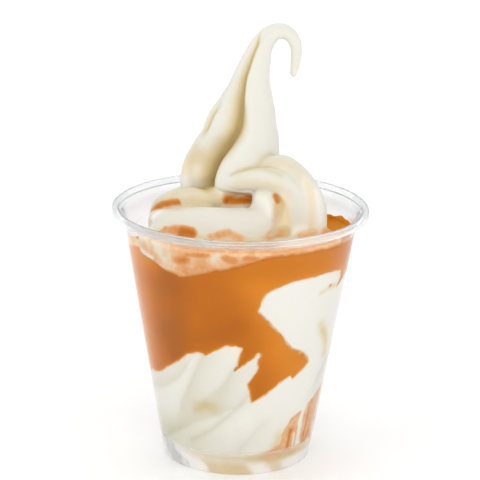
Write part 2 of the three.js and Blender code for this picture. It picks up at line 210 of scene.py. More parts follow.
SIDE_LOBE = [
    (-2, -10, 98.3, 2.6), (-8, -13, 99, 3.4), (-16.5, -12.7, 98.8, 3.5), (-22.8, -8.5, 97, 3.2),
    (-27.8, -3, 93.2, 3), (-29.2, 5, 87, 3.8),
]
FRONT, UP = np.array([0, -1, 0.0]), np.array([0, 0, 1.0])
# Each rope's name, stations, the direction from which its angles count, and its points round and along.
ROPES = [
    ("arch_core", ARCH_CORE, FRONT, 48, 60), ("arch_web", ARCH_WEB, FRONT, 32, 40),
    ("arch_inner", ARCH_INNER, FRONT, 48, 90), ("arch_outer", ARCH_OUTER, FRONT, 48, 90),
    ("coil", COIL, UP, 48, 150), ("side_lobe", SIDE_LOBE, UP, 48, 60),
]
VOXEL = 0.6
SMOOTHING = 8

# The peak's stations add the angle of the groove between its two front folds and the groove's depth.
PEAK = [
    (-3, 1.6, 80, 18, -37, 0.55), (-2.9, 1.2, 95, 18.6, -37, 0.55), (-2.6, 0.6, 103, 18.9, -37, 0.55),
    (-1.7, 0, 110, 16.9, -36, 0.55), (-0.6, 0, 116.5, 14.3, -22, 0.55), (0.1, 0, 122.3, 12.8, -7, 0.55),
    (1.4, 0, 128, 10.7, -12, 0.55), (2.5, 0, 134, 8.4, -25, 0.55), (3.3, 0, 139.6, 6.6, -31, 0.55),
    (4.7, 0, 145.3, 5.3, -32, 0.52), (6.6, 0, 151, 4, -32, 0.4), (9.8, 0, 155, 3.2, -32, 0.2),
    (13.6, 0, 156, 2.7, -18, 0), (16.8, 0, 154, 2.35, -18, 0), (18.4, 0, 150.2, 2.1, -18, 0),
    (18.3, 0, 145, 1.8, -18, 0), (17.4, 0, 139.4, 1.2, -18, 0),
]
PEAK_RISE = 0.625  # share of the stations in which the peak rises
GROOVE_WIDTHS = (25, 10)
BACK_GROOVES = [(-132, 0.3, 22), (168, 0.32, 28), (138, 0.25, 18)]  # angle from the front groove, depth, width
BACK_GROOVES_FADE = (145, 154)
BACK_GROOVES_END = 0.7  # share of the stations
UNDERCUT = {"angle": -6, "depth": 0.5, "width": 36, "from": 100, "to": 105}
NOTCH = {"angle": -72, "depth": 0.15, "width": 7, "heights": (117.5, 122, 125.5, 131.5)}
NOTCH_SHADE = 0.6
GROOVE_SUNK = (1.04, 0.96)  # shares of the peak's radius
GROOVE_BOTTOM, GROOVE_TOP = (99, 101), (157, 152)
GROOVE_SHADE = [  # painted shade along the peak's front groove: height, strength, width
    (96, 0.8, 17), (104, 0.95, 20), (111, 0.97, 23), (116, 0.9, 25), (122, 0.82, 22), (130, 0.8, 20),
    (140, 0.85, 19), (153, 0.7, 16),
]

# Sauce on the swirl: points, strength and width of each smear.
BARE = 0.1  # value of soft serve without sauce on it; painted highlights lie below it
DRIPS = [
    ([(-4.8, -15, 98.7), (3.8, -13, 98.3)], 0.9, 1.9),
    ([(-32, 0, 89), (-29.9, -5.4, 92.5), (-27.4, -8.6, 94.9), (-22, -13.3, 97.1)], 0.8, 1.4),
    ([(-29.7, -21.2, 88), (-25.9, -19.3, 88.2), (-21.6, -22.3, 89.6)], 0.64, 2.1),
    ([(-20.7, -23.8, 89.3), (-17, -25.8, 89.4)], 1, 2.4),
    ([(-9.7, -28.3, 88.7), (-4.2, -28.6, 90.6), (0, -28.8, 88.7)], 0.5, 2.1),
    ([(12.6, -20, 98.3), (12.3, -21.2, 95.7), (11.7, -22.8, 93.3), (11, -23.5, 90.6), (9.7, -25, 88.8)], 0.3, 2.2),
    ([(11.9, -20.3, 102), (12.7, -19.8, 100)], 0.6, 1.3),
    ([(9.5, -27, 88), (15, -20.5, 88.7)], 0.42, 2.3),
    ([(20.8, -22.2, 88.2), (26.5, -19.6, 88.6)], 0.5, 1.6),
    ([(30, -19, 87.8), (31.6, -14, 87.4), (30.6, -9, 86.6)], 0.62, 2.6),
]
# Soft serve that a trace of sauce has yellowed, and places darkened as painted shade on the side lobe, the arch's
# ropes and the left fold's foot: points, strength and width.
SWIRL_STAINS_AND_SHADE = [
    ([(13, -19.5, 102), (14.6, -20, 97), (15, -20.2, 91.6), (14.6, -22, 88)], 0.8, 2.8),
    ([(22.6, -16.8, 106.2), (23.7, -17.8, 103.6), (24.5, -18.7, 100.3), (24.9, -19.3, 96.8), (25, -19.6, 90)],
     0.55, 1.6),
    ([(-3, -17.8, 108.4), (3, -16.4, 110.6), (7, -16, 111.4), (12, -16, 110.5)], 0.8, 0.9),
    ([(-19, -2, 106), (-16.5, -5.5, 113)], 0.7, 3.4),
    ([(-5, -15.8, 99.2), (-16.5, -15.5, 98.8), (-23.5, -10.6, 97), (-28.4, -5, 93.2)], 0.8, 3),
    ([(-24, -11, 99), (-17.8, -13.9, 101.7), (-10.8, -14.8, 102.1)], 0.65, 2.4),
    ([(-0.4, -17.5, 109.6), (4.8, -19.3, 111.2), (9.3, -19.7, 111.1), (13.4, -19.9, 109.4)], 0.5, 1.6),
    ([(-0.4, -21, 106), (5.9, -22.2, 106.6), (11.8, -21.8, 105.4), (15, -20.6, 102.8)], 0.4, 3),
    ([(9, -15.4, 112), (14.2, -15.6, 113), (18.7, -16, 110.4), (22, -16.5, 105.6)], 0.4, 3),
]
# The second value is painted shade: it darkens the swirl low down, near the rim.
WALL_BLUSH, LOW_PAINTED_SHADE = 0.15, 0.08
# Painted highlights: paler soft serve where the swirl catches light, and creases painted lighter: points, strength
# and width.
PAINTED_HIGHLIGHTS = [
    ([(-30.4, -10.5, 91), (-26.9, -10.6, 93.3), (-23, -12.5, 94.4)], 1, 1.8),
    ([(-23, -12.5, 94.4), (-17.7, -17, 96), (-10.6, -20.5, 97.2), (-1.9, -21, 97.4), (3.3, -20.6, 97.7)], 0.8, 1.5),
    ([(6, -21.1, 101.3), (8.1, -22, 100.9), (9.5, -22.4, 98.9), (10.2, -23.3, 96.3)], 0.6, 1.8),
    ([(-6.6, -15.2, 101.6), (-3.1, -17.4, 102.6), (3.2, -17.1, 102.7)], 1, 1.8),
    ([(14.3, -20.6, 101.7), (15.4, -20.1, 98.7), (15.9, -20.1, 95.1), (15.6, -20.3, 91.5)], 1, 2.2),
    ([(-20, -2, 106.5), (-19.5, -4.3, 101)], 0.8, 3),
    ([(-15, -6.4, 107), (-14.8, -6.4, 102)], 0.7, 2.5),
    ([(22.6, -17.2, 106.3), (24.5, -18.4, 100.2), (25, -19.1, 93.1)], 0.6, 2),
    ([(26.5, -16.3, 102.5), (27.3, -17.6, 98.2), (28.2, -17.8, 92.8)], 0.6, 2),
    ([(12.8, -19.8, 101.5), (13, -20.2, 97), (12.4, -21.5, 93), (11.6, -23, 90.5)], 0.9, 2.4),
    ([(13, -22.5, 89.4), (18, -21.6, 89.4), (25, -20, 89.4)], 0.8, 2.2),
]
HOLLOW_PASSES = 60
HOLLOW_DEPTH = 2.4  # depth that would be shaded fully
HOLLOW_START = 0.06
HOLLOW_SHADE = 0.42

# Sauce on the swirl's base where it meets the wall: its strength by angle, stronger blots and gaps; and a painted
# glint, a thin line where the base is left bare to show as a highlight.
WALL_FILM = [
    (-78, 0.3), (-50, 0.32), (-42, 0.32), (-34, 0.42), (12, 0.42), (30, 0.56), (60, 0.7), (78, 0.7),
]
WALL_BLOTS = [
    ([(-33, 82), (-27, 83)], 0.8, 2.5), ([(-26, 85), (-15, 86)], 0.7, 1.5),
    ([(-6.8, 85.2), (-3.4, 84.4)], 0.78, 2.2), ([(-36, 79.5), (-25, 78)], 0.62, 2),
    ([(-12, 80.5), (-3, 82)], 0.6, 1.6), ([(3, 85.6), (8.5, 85)], 0.72, 1.7),
    ([(16, 87.2), (30, 87.6)], 0.65, 1),
]
FILM_LEVEL, FILM_DROP, FILM_GAIN = 86, 6, 0.018  # the film thickens below its level
FILM_EDGE = [(5, 2.6), (20, 4.2)]  # angle, and height above the sauce to which its edge fades
NEAR_SAUCE = 0.85
TOP_RIGHT_LOSS = 0.42
WALL_GAP = 0.4
WALL_GAPS = [
    ([(-46, 87), (-42, 84), (-36.5, 80.5), (-34.5, 79)], 2.4), ([(-13.4, 86.5), (-11.4, 82.2)], 1.6),
    ([(14.5, 86.4), (20.5, 86)], 0.7), ([(27, 86.8), (28, 85)], 0.7), ([(32, 86.8), (44, 86.6)], 0.5),
]
PAINTED_GLINT = [(-61.5, 82.2), (-55, 81.2), (-49.5, 80.5)]
PAINTED_GLINT_WIDTH = 0.9
# Sauce on top of the base: its strength, how much more it has right of the far left, and where it starts.
LEDGE_FILM, LEDGE_GAIN, LEDGE_RADII = 0.35, 0.2, (32.5, 36)
LEDGE_WOBBLE = [(5, 3)]

# Painted light on the moulded foot, standing in for light caught in the plastic and reflections on its ring: tones
# by angle, from peach over beige and white to grey, below its middle and above it.
FOOT_LIGHT_TONES = [
    (-180, 0.5), (-150, 0.75), (-120, 0.4), (-90, 0.8), (-62, 0.9), (-48, 0.9), (-40, 0.88), (-36, 0.7),
    (-27, 0.68), (-23, 0.36), (-11, 0.34), (-2, 0.3), (6, 0.34), (11, 0.64), (21, 0.7), (25, 0.42),
    (31, 0.4), (36, 0.6), (41, 0.68), (54, 0.78), (75, 0.7), (100, 0.4), (130, 0.7), (155, 0.36), (180, 0.5),
]
FOOT_TOP_LIGHT_TONES = [
    (-180, 0.55), (-65, 0.905), (-48, 0.895), (-38, 0.62), (-20, 0.5), (8, 0.45), (18, 0.34), (25, 0.22),
    (50, 0.22), (62, 0.4), (80, 0.5), (180, 0.55),
]
FOOT_MIDDLE = (3, 6)
FOOT_SLANT = 1.6  # degrees for each millimetre of height
FOOT_WOBBLE = [(2.5, 3)]  # in degrees
FOOT_MOTTLE = [(1.5, 0.03)]  # in tone
# Haze of the rolled rim and the wall just under it: angle, haze and tone.
RIM_HAZE = [
    (-180, 0.2, 0.85), (-66, 0.2, 0.85), (-57, 0.2, 0.95), (-48, 0.25, 1), (-20, 0.25, 1), (-8, 0.08, 1),
    (14, 0.08, 1), (24, 0.2, 0.6), (50, 0.2, 0.6), (80, 0.2, 0.85), (180, 0.2, 0.85),
]
# Haze and tone of the wall above the contents, on the far side, and a faint painted light on the left edge of the
# wall.
FAR_WALL_HAZE, FAR_WALL_TONE = 0.22, 0.92
FAR_WALL_LEVELS, FAR_WALL_ANGLES = (80, 84), (70, 95)
PAINTED_WALL_LIGHT = 0.08
WALL_LIGHT_SPAN, WALL_LIGHT_BOTTOM, WALL_LIGHT_TOP = (-84, 32, 20), (FLOOR_HEIGHT, 30), (88, 80)

# Tones of the materials
HAZE_AND_LIGHT_TONES = [(0, "#de9f66"), (0.34, "#e0cfab"), (0.68, "#f6f2ec"), (0.85, "#f2f2f0"), (1, "#8e897a")]
CARAMEL_TONES = [(0, "#f0d2ae"), (0.12, "#da9038"), (0.45, "#d68414"), (0.85, "#be6b00"), (1, "#ac6002")]
STAINED_TONES = [(0.38, "#e2bc94"), (0.58, "#d69858"), (0.8, "#d08228"), (1, "#be6e08")]
TRACE = 0.22  # value of the faintest sauce that shows
# Soft serve at a painted highlight, bare, under a trace of sauce, and the painted shade that shallow and deep
# grooves multiply it by.
PRESSED_TONES = ("#f0eeea", "#e8e6de", "#e8e3d5", "#e3dfcf", "#c8c1ab")
DRAWN_TONES = ("#f3f1ea", "#dfddd3", "#dfd9ca", "#f2dfae", "#bb9c5c")
# Yellow multiplied in where a trace of sauce has stained the soft serve, and on the swirl also as painted shade.
STAIN_AND_SHADE_TINT = "#f2dca8"

# Camera and light: places in metres, energies in watts.
PHOTO_SIDE_PX = 480
FOCAL_PX = 2500.9
CAMERA_PLACE = (0, -0.8552, 0.3405)
CAMERA_PITCH = 18.16
CAMERA_LIFT_PX = 52  # the photo is framed this much higher than the pitch alone
CAMERA_ROLL = 1.03
SENSOR_WIDTH = 36
CLIP_END_M = 50
FLOOR_SIDE_M = 8
WORLD_STRENGTH = 0.5
SUNDAE_MIDDLE = (0, 0, 0.09)
# Each panel's name, place, size, energy and target.
PANELS = [
    ("left_panel", (-0.85, -0.25, 0.5), (1.1, 0.8), 3.2, SUNDAE_MIDDLE),
    ("right_panel", (0.85, -0.4, 0.5), (0.9, 0.8), 2.5, SUNDAE_MIDDLE),
    ("front_panel", (0.1, -1.15, 0.6), (1.1, 0.8), 5.6, SUNDAE_MIDDLE),
    ("top_panel", (0, 0.3, 1.3), (1.2, 1.2), 3.3, SUNDAE_MIDDLE),
    ("backdrop_panel", (0, 1.2, 1.1), (2.4, 1.2), 9, (0, 1.2, 0)),
]


def outer_radius(z):
    return FOOT_DIAMETER / 2 + TAPER * z


def inner_radius(z):
    return outer_radius(z) - WALL


def smoothstep(start, end, value):
    share = np.clip((value - start) / (end - start), 0, 1)
    return share * share * (3 - 2 * share)


def bell(angle, middle, left, right):
    """A bump of height 1 about a direction, with its own width on the left and on the right."""
    off = (angle - middle + 180) % 360 - 180
    return np.exp(-((off / np.where(off < 0, left, right)) ** 2))


def fade(distance, width, power=2):
    """1 at no distance, falling away to 0 over a width."""
    return np.exp(-((distance / width) ** power))


def by_angle(stops, angle):
    """Values between stops of an angle and a value."""
    return np.interp(angle, *zip(*stops))


def grain(points, size):
    """Smooth random values from -1 to 1 at points in space, in lumps of the given size."""
    table = np.random.default_rng(SEED).uniform(-1, 1, 4096)
    cell = np.floor(points / size).astype(int)
    part = points / size - cell
    part = part * part * (3 - 2 * part)
    total = np.zeros(len(points))
    for corner in np.ndindex(2, 2, 2):
        x, y, z = (cell + corner).T
        weight = np.prod(np.where(corner, part, 1 - part), axis=1)
        total += table[(x * 7919 + y * 104729 + z * 1299709) % len(table)] * weight
    return total


def unevenness(points, lumps):
    return sum(reach * grain(points, size) for size, reach in lumps)


def along(stations, share):
    """Every column of the stations on a smooth curve through them, at shares of the way along."""
    points = np.array(stations, float)
    padded = np.vstack([2 * points[0] - points[1], points, 2 * points[-1] - points[-2]])
    step = np.clip(share, 0, 1) * (len(points) - 1)
    start = np.minimum(step.astype(int), len(points) - 2)
    u = (step - start)[:, None]
    a, b, c, d = (padded[start + i] for i in range(4))
    return 0.5 * (2 * b + (c - a) * u + (2 * a - 5 * b + 4 * c - d) * u**2 + (3 * b - a - 3 * c + d) * u**3)


def on_wall(angle, radius, z):
    """Points at an angle from the front towards +X."""
    turn = np.radians(angle)
    return np.column_stack([radius * np.sin(turn), -radius * np.cos(turn), z])


def from_stroke(path, angle, z):
    """Distance from a stroke drawn on the wall, negative on its left."""
    arc = math.radians(WALL_MEAN_RADIUS)
    nearest = np.full(angle.shape, np.inf)
    side = np.ones(angle.shape)
    for (start_angle, start_z), (end_angle, end_z) in zip(path, path[1:]):
        x, y = (angle - start_angle) * arc, z - start_z
        dx, dy = (end_angle - start_angle) * arc, end_z - start_z
        share = np.clip((x * dx + y * dy) / (dx * dx + dy * dy), 0, 1)
        distance = np.hypot(x - share * dx, y - share * dy)
        side = np.where(distance < nearest, np.where(y * dx - x * dy > 0, -1, 1), side)
        nearest = np.minimum(nearest, distance)
    return nearest * side


def from_path(path, points):
    """Distance of points in space from a path."""
    nearest = np.full(len(points), np.inf)
    for start, end in zip(np.array(path, float), np.array(path[1:], float)):
        run = end - start
        share = np.clip((points - start) @ run / (run @ run), 0, 1)
        nearest = np.minimum(nearest, np.linalg.norm(points - start - share[:, None] * run, axis=1))
    return nearest


def strongest(marks, distance, power=2):
    """The strongest of several marks at every point, each of which fades over its width from its path."""
    return np.max([strength * fade(distance(path), width, power) for path, strength, width in marks], axis=0)


def inside_pocket(angle, z):
    """How far points of the wall lie inside the sauce's edge, negative outside it."""
    nearest = np.full(angle.shape, np.inf)
    crossings = np.zeros(angle.shape, int)
    for turn in (-360, 0, 360):
        path = [(edge_angle + turn, edge_z) for edge_angle, edge_z in POCKET_EDGE]
        nearest = np.minimum(nearest, np.abs(from_stroke(path, angle, z)))
        for (start_angle, start_z), (end_angle, end_z) in zip(path, path[1:]):
            spans = (start_angle > angle) != (end_angle > angle)
            rise = (end_z - start_z) / (end_angle - start_angle)
            crossings += spans & (start_z + (angle - start_angle) * rise < z)
    return np.where(crossings % 2, nearest, -nearest)


def sauce_top(angle, radius):
    """Height of the sauce's surface, from its level on the wall to its level at the axis."""
    share = radius / inner_radius(SAUCE_MIDDLE)
    return SAUCE_MIDDLE + (by_angle(SAUCE_LEVEL, angle) - SAUCE_MIDDLE) * share


def only(piece):
    """Makes a piece the one that is selected."""
    bpy.ops.object.select_all(action="DESELECT")
    piece.select_set(True)
    bpy.context.view_layer.objects.active = piece


def places(piece):
    """A piece's points in metres."""
    at = np.empty(len(piece.data.vertices) * 3)
    piece.data.vertices.foreach_get("co", at)
    return at.reshape(-1, 3)


def unrolled(piece):
    """A piece's points, and each one's angle from the front, distance from the axis and height."""
    at = places(piece) / MM
    return at, np.degrees(np.arctan2(at[:, 0], -at[:, 1])), np.hypot(at[:, 0], at[:, 1]), at[:, 2]


def sheet(name, columns, rows):
    """A grid of faces to be wrapped round, and how far across and along it each point lies, from 0 to 1."""
    bpy.ops.object.select_all(action="DESELECT")
    bpy.ops.mesh.primitive_grid_add(x_subdivisions=columns, y_subdivisions=rows, size=1)
    piece = bpy.context.object
    piece.name = piece.data.name = name
    at = places(piece)
    return piece, at[:, 0] + 0.5, at[:, 1] + 0.5


def turned(name, columns, profile):
    """A sheet with a row for every line of a profile, and each point's angle from the front and profile values."""
    piece, across, up = sheet(name, columns, len(profile) - 1)
    row = np.rint(up * (len(profile) - 1)).astype(int)
    return piece, across * 360 - 180, *np.array(profile, float)[row].T


def wrap(piece, at):
    """Moves a sheet's points to their places and closes its seam and its ends."""
    piece.data.vertices.foreach_set("co", (at * MM).ravel())
    only(piece)
    bpy.ops.object.mode_set(mode="EDIT")
    bpy.ops.mesh.select_all(action="SELECT")
    bpy.ops.mesh.remove_doubles(threshold=1e-6)
    bpy.ops.mesh.normals_make_consistent(inside=False)
    bpy.ops.object.mode_set(mode="OBJECT")
    return piece


def apply_modifier(piece, kind, **settings):
    only(piece)
    modifier = piece.modifiers.new(kind, kind)
    for name, value in settings.items():
        setattr(modifier, name, value)
    bpy.ops.object.modifier_apply(modifier=modifier.name)


def paint(piece, name, values):
    """Keeps a value for every point of a piece, which its material reads."""
    attribute = piece.data.attributes.new(name, "FLOAT", "POINT")
    attribute.data.foreach_set("value", np.ascontiguousarray(values, dtype=np.float32))


def finish(piece, node, material, smooth_below):
    only(piece)
    bpy.ops.object.shade_smooth_by_angle(angle=math.radians(smooth_below))
    piece.data.materials.clear()
    piece.data.materials.append(material)
    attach(piece, "root")
    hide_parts(node)


def quadratic(start, control, end, steps):
    """Points of a curve after its start."""
    share = np.linspace(0, 1, steps + 1)[1:, None]
    start, control, end = (np.array(point, float) for point in (start, control, end))
    return [tuple(p) for p in (1 - share) ** 2 * start + 2 * share * (1 - share) * control + share**2 * end]


def cup_outline():
    """The cup's radius and height, from under its floor, over the rim and down to the inside of the floor."""
    foot_edge = FOOT_DIAMETER / 2
    foot_inside = foot_edge - FOOT_WIDTH
    underside = FLOOR_HEIGHT - WALL
    roll_r, roll_z = RIM_DIAMETER / 2 - ROLL_RADIUS, CUP_HEIGHT - ROLL_RADIUS

    def on_roll(radius, angles):
        turns = [math.radians(angle) for angle in angles]
        return [(roll_r + radius * math.cos(turn), roll_z + radius * math.sin(turn)) for turn in turns]

    roll_inside = on_roll(ROLL_RADIUS - ROLL_WALL, range(150, -136, -15))
    roll_outside = on_roll(ROLL_RADIUS, range(-135, 136, 15))
    fillet_top = FLOOR_HEIGHT + FLOOR_FILLET
    floor_edge = inner_radius(FLOOR_HEIGHT) - FLOOR_FILLET
    outline = [(foot_inside - FOOT_ROUNDING, underside)]
    outline += quadratic(outline[-1], (foot_inside, underside), (foot_inside, underside - FOOT_ROUNDING), 4)
    outline += [(foot_inside, FOOT_ROUNDING / 2)]
    outline += quadratic(outline[-1], (foot_inside, 0), (foot_inside + FOOT_ROUNDING / 2, 0), 3)
    outline += [(foot_edge - FOOT_ROUNDING, 0)]
    outline += quadratic(outline[-1], (foot_edge, 0), (outer_radius(FOOT_ROUNDING), FOOT_ROUNDING), 4)
    outline += [(outer_radius(z), z) for z in (*FOOT_RINGS, *WALL_RINGS)]
    outline += quadratic(outline[-1], (outer_radius(roll_z), roll_z), roll_inside[0], 6)
    outline += roll_inside[1:] + roll_outside
    outline += quadratic(outline[-1], (inner_radius(roll_z), roll_z), (inner_radius(FLARE_START), FLARE_START), 6)
    outline += [(inner_radius(z), z) for z in np.linspace(FLARE_START, fillet_top, 15)[1:]]
    outline += quadratic(outline[-1], (inner_radius(FLOOR_HEIGHT), FLOOR_HEIGHT), (floor_edge, FLOOR_HEIGHT), 5)
    return outline


def make_cup():
    """The cup's outline drawn up ring by ring."""
    outline = cup_outline()
    bpy.ops.object.select_all(action="DESELECT")
    radius, height = outline[0]
    bpy.ops.mesh.primitive_circle_add(vertices=CUP_SIDES, radius=radius * MM, location=(0, 0, height * MM))
    cup = bpy.context.object
    cup.name = cup.data.name = "clear_cup"
    bpy.ops.object.transform_apply(location=True, rotation=True, scale=True)
    bpy.ops.object.mode_set(mode="EDIT")
    for (radius, height), (next_radius, next_height) in zip(outline, outline[1:]):
        rise = (0, 0, (next_height - height) * MM)
        bpy.ops.mesh.extrude_region_move(TRANSFORM_OT_translate={"value": rise})
        spread = next_radius / radius
        bpy.ops.transform.resize(value=(spread, spread, 1), center_override=(0, 0, next_height * MM))
    bpy.ops.mesh.select_all(action="SELECT")
    bpy.ops.mesh.fill_holes(sides=0)
    bpy.ops.mesh.select_all(action="SELECT")
    bpy.ops.mesh.normals_make_consistent(inside=False)
    bpy.ops.object.mode_set(mode="OBJECT")
    return cup


def fold_relief(angle, z):
    """Depth of the folds on the wall."""
    depth = np.zeros(angle.shape)
    for path, groove, left, right in FOLDS:
        for turn in (0, 360):
            off = from_stroke(path, angle + turn, z)
            depth += groove * np.exp(-np.abs(off) / np.where(off < 0, left, right))
    return depth


def make_mound():
    """Soft serve that meets the wall all round, except where the sauce pocket hollows it."""
    shoulder = MOUND_TOP - MOUND_ROUNDING
    bottom = FLOOR_HEIGHT - INTO_WALL
    edge = inner_radius(shoulder) + INTO_WALL
    profile = [(0, bottom), (inner_radius(bottom) - FLOOR_FILLET / 2, bottom)]
    profile += [(inner_radius(z) + INTO_WALL, z) for z in np.linspace(bottom + FLOOR_FILLET, shoulder, MOUND_ROWS)]
    profile += quadratic((edge, shoulder), (edge, MOUND_TOP), (edge - MOUND_ROUNDING, MOUND_TOP), 4)
    profile += [(edge * share, MOUND_TOP) for share in np.linspace(0.85, 0, TOP_ROWS)]
    mound, angle, radius, z = turned("soft_serve_in_cup", WALL_COLUMNS, profile)
    rise = MOUND_TILT * (radius / edge) * np.cos(np.radians(angle - HIGH_SIDE))
    height = z + rise * smoothstep(MOUND_TOP / 2, shoulder, z)
    inside = inside_pocket(angle, height) + unevenness(on_wall(angle, radius, height), EDGE_WOBBLE)
    rounded = 1 + smoothstep(shoulder - 4 * MOUND_ROUNDING, MOUND_TOP, z)
    depth = POCKET_DEPTH * rounded * smoothstep(-POCKET_LIP, POCKET_SLOPE, inside)
    folds = FOLD_DEPTH * np.minimum(fold_relief(angle, height), 1)
    reach = radius + TAPER * (height - z) - folds - np.minimum(depth, radius / 2)
    return wrap(mound, on_wall(angle, np.where(radius > 0, reach, 0), height))


def make_sauce(mound):
    """Sauce that fills the pocket and covers the mound, cut round the soft serve."""
    levels = np.concatenate([[0], np.linspace(0, 1, SAUCE_ROWS), np.ones(TOP_ROWS)])
    shares = np.concatenate([[0], np.ones(SAUCE_ROWS), np.linspace(0.98, 0, TOP_ROWS)])
    sauce, angle, level, share = turned("caramel_pocket", WALL_COLUMNS, np.column_stack([levels, shares]))
    edge = inner_radius(SAUCE_MIDDLE)
    top = sauce_top(angle, edge * share)
    at_edge = on_wall(angle, np.full(angle.shape, edge), np.full(angle.shape, float(SAUCE_MIDDLE)))
    climb = by_angle(SAUCE_CLIMB, angle) * (1 + unevenness(at_edge, CLIMB_WOBBLE))
    climb *= np.exp(-(1 - share) * edge / CLIMB_THICKNESS)
    height = SAUCE_BOTTOM + (top + climb - SAUCE_BOTTOM) * level
    height += unevenness(on_wall(angle, edge * share, top), SAUCE_RIPPLE) * (level == 1)
    wrap(sauce, on_wall(angle, (inner_radius(height) + SAUCE_INTO_WALL) * share, height))
    apply_modifier(sauce, "BOOLEAN", object=mound, operation="DIFFERENCE", solver="MANIFOLD")
    return sauce


def plain(angle, share, columns):
    return np.ones(angle.shape)


def folded(angle, share, columns):
    """The peak's deep groove at the front, softer grooves behind, the hollow at its foot and the notch."""
    z, lean, depth = columns[:, 2], columns[:, 4], columns[:, 5]
    girth = 1 - depth * bell(angle, lean, *GROOVE_WIDTHS)
    at_back = (1 - smoothstep(*BACK_GROOVES_FADE, z)) * (share < BACK_GROOVES_END)
    for turn, groove, width in BACK_GROOVES:
        girth -= at_back * groove * bell(angle, lean + turn, width, width)
    hollow = bell(angle, UNDERCUT["angle"], UNDERCUT["width"], UNDERCUT["width"])
    girth -= UNDERCUT["depth"] * hollow * (1 - smoothstep(UNDERCUT["from"], UNDERCUT["to"], z))
    return girth - NOTCH["depth"] * notched(angle, z)


def notched(angle, z):
    """The notch on the left of the peak, from 0 to 1."""
    rise, full, fall, end = NOTCH["heights"]
    across = bell(angle, NOTCH["angle"], NOTCH["width"], NOTCH["width"])
    return across * smoothstep(rise, full, z) * smoothstep(end, fall, z)


def rope(name, stations, reference, sides, rings, profile=plain):
    """A rope of soft serve drawn along its stations, each ring shaped by profile(angle, share, columns)."""
    nudge = 1e-3
    piece, across, share = sheet(name, sides, rings)
    angle = across * 360
    columns = along(stations, share)
    centre, girth = columns[:, :3], columns[:, 3]
    tangent = along(stations, share + nudge)[:, :3] - along(stations, share - nudge)[:, :3]
    tangent /= np.linalg.norm(tangent, axis=1, keepdims=True)
    forward = reference - tangent * (tangent @ reference)[:, None]
    forward /= np.linalg.norm(forward, axis=1, keepdims=True)
    sideways = np.cross(tangent, forward)
    steps = np.linspace(0, 1, 400)
    run = np.cumsum(np.linalg.norm(np.diff(along(stations, steps)[:, :3], axis=0, prepend=0), axis=1))
    run -= run[0]
    travelled = np.interp(share, steps, run)
    from_end = np.minimum(travelled, run[-1] - travelled) / girth
    rounding = np.sqrt(1 - (1 - np.clip(from_end, 0, 1)) ** 2)
    reach = (girth * profile(angle, share, columns) * rounding)[:, None]
    turn = np.radians(angle)[:, None]
    return wrap(piece, centre + reach * (forward * np.cos(turn) + sideways * np.sin(turn)))


def make_base():
    """The swirl's base, which lies on the sauce and spreads to the wall at the front."""
    edge = inner_radius(SAUCE_MIDDLE) + INTO_WALL
    shoulder = BASE_TOP - BASE_ROUNDING
    profile = [(0, SAUCE_MIDDLE), (edge / 2, SAUCE_MIDDLE), (edge, SAUCE_MIDDLE)]
    profile += [(edge, z) for z in np.linspace(SAUCE_MIDDLE + 1, shoulder, 5)]
    profile += quadratic((edge, shoulder), (edge, BASE_TOP), (edge - BASE_ROUNDING, BASE_TOP), 4)
    profile += [(radius, BASE_TOP) for radius in np.linspace(edge - 2 * BASE_ROUNDING, 0, 9)]
    base, angle, radius, z = turned("base", BASE_COLUMNS, profile)
    drawn_in = smoothstep(*BASE_SPREAD, np.abs(angle))
    reach = radius + (radius * BASE_RADIUS / edge - radius) * drawn_in
    level = sauce_top(angle, reach)
    height = np.where(z > SAUCE_MIDDLE, np.maximum(z, level), level - INTO_WALL)
    reach += np.where(radius > 0, TAPER * (height - SAUCE_MIDDLE) * (1 - drawn_in), 0)
    height += unevenness(on_wall(angle, reach, height), BASE_WAVES) * (z == BASE_TOP)
    return wrap(base, on_wall(angle, reach, height))


def make_swirl():
    """The coil, the lobes and the folded peak run together into one piece."""
    peak = rope("soft_serve_swirl_top", PEAK, FRONT, 120, 170, folded)
    parts = [rope(*settings) for settings in ROPES] + [make_base()]
    bpy.ops.object.select_all(action="DESELECT")
    bpy.ops.mesh.primitive_uv_sphere_add(segments=48, ring_count=24, radius=MM)
    core = bpy.context.object
    bpy.ops.transform.resize(value=CORE_RADII)
    bpy.ops.transform.translate(value=Vector(CORE_CENTRE) * MM)
    bpy.ops.object.transform_apply(location=True, rotation=True, scale=True)
    only(peak)
    for part in parts + [core]:
        part.select_set(True)
    bpy.ops.object.join()
    apply_modifier(peak, "REMESH", mode="VOXEL", voxel_size=VOXEL * MM)
    apply_modifier(peak, "SMOOTH", iterations=SMOOTHING, factor=0.5)
    return peak


def hollows(piece, passes):
    """How far each point lies below its smoothed neighbourhood: positive in grooves, negative on ridges."""
    mesh = piece.data
    ends = np.empty(len(mesh.edges) * 2, int)
    mesh.edges.foreach_get("vertices", ends)
    a, b = ends.reshape(-1, 2).T
    here = places(piece) / MM
    count = len(here)
    neighbours = np.bincount(a, minlength=count) + np.bincount(b, minlength=count)
    smoothed = here.copy()
    for _ in range(passes):
        total = np.column_stack([
            np.bincount(a, smoothed[b, i], count) + np.bincount(b, smoothed[a, i], count) for i in range(3)
        ])
        smoothed = total / neighbours[:, None]
    normal = np.empty(count * 3)
    mesh.vertices.foreach_get("normal", normal)
    return np.sum((smoothed - here) * normal.reshape(-1, 3), axis=1)


def linear(code):
    """An sRGB hex value as a linear colour."""
    parts = [int(code[i : i + 2], 16) / 255 for i in (1, 3, 5)]
    return (*[c / 12.92 if c <= 0.04045 else ((c + 0.055) / 1.055) ** 2.4 for c in parts], 1)


def join(tree, node, inputs):
    """Sets a node's inputs to values or joins them to sockets."""
    for name, value in inputs.items():
        if isinstance(value, bpy.types.NodeSocket):
            tree.links.new(value, node.inputs[name])
        else:
            node.inputs[name].default_value = value


